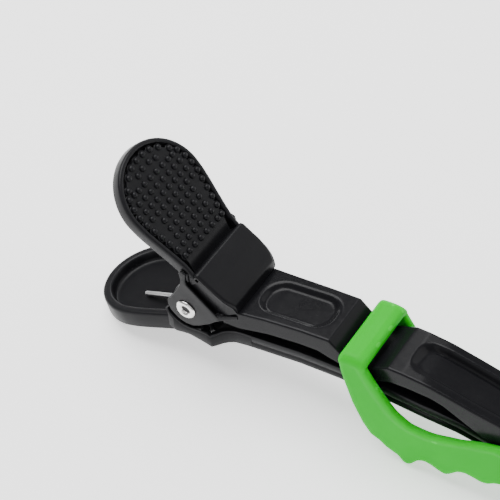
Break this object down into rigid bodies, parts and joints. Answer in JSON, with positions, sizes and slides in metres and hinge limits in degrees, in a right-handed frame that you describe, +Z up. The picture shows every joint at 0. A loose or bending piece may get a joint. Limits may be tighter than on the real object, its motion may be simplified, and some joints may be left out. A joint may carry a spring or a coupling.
{
  "type": "hair sectioning clip",
  "caption": "Sprung salon clip with bumped thumb paddles, a hollow rivet hinge, a notched upper jaw and a wavy-edged green silicone band looped round the jaws.",
  "frame": {"origin": "centre of the bounding box's base, on the surface the clip rests on", "axes": "+X towards the jaw tip, +Z up, Y along the rivet"},
  "size_m": [0.114, 0.0216, 0.0442],
  "materials": {
    "lever_plastic": "fine satin black",
    "jaw_plastic": "semi-gloss black",
    "rivet_metal": "nickel plated",
    "spring_wire": "drawn wire",
    "band_silicone": "satin silicone"
  },
  "bodies": {
    "lower_half": {"lower_jaw": "lever_plastic", "torsion_spring": "spring_wire", "silicone_band": "band_silicone"},
    "upper_half": {"upper_lever": "lever_plastic", "upper_jaw": "jaw_plastic", "pivot_rivet": "rivet_metal"}
  },
  "joints": [
    {"name": "main_pivot", "type": "hinge", "parent": "lower_half", "child": "upper_half", "pos_m": [-0.03161, 0, 0.01615], "axis": [0, -1, 0], "range_deg": [0, 35], "stiffness_Nm_per_rad": 0.08, "springref_deg": -68.75, "deforming": ["torsion_spring", "silicone_band"]}
  ]
}
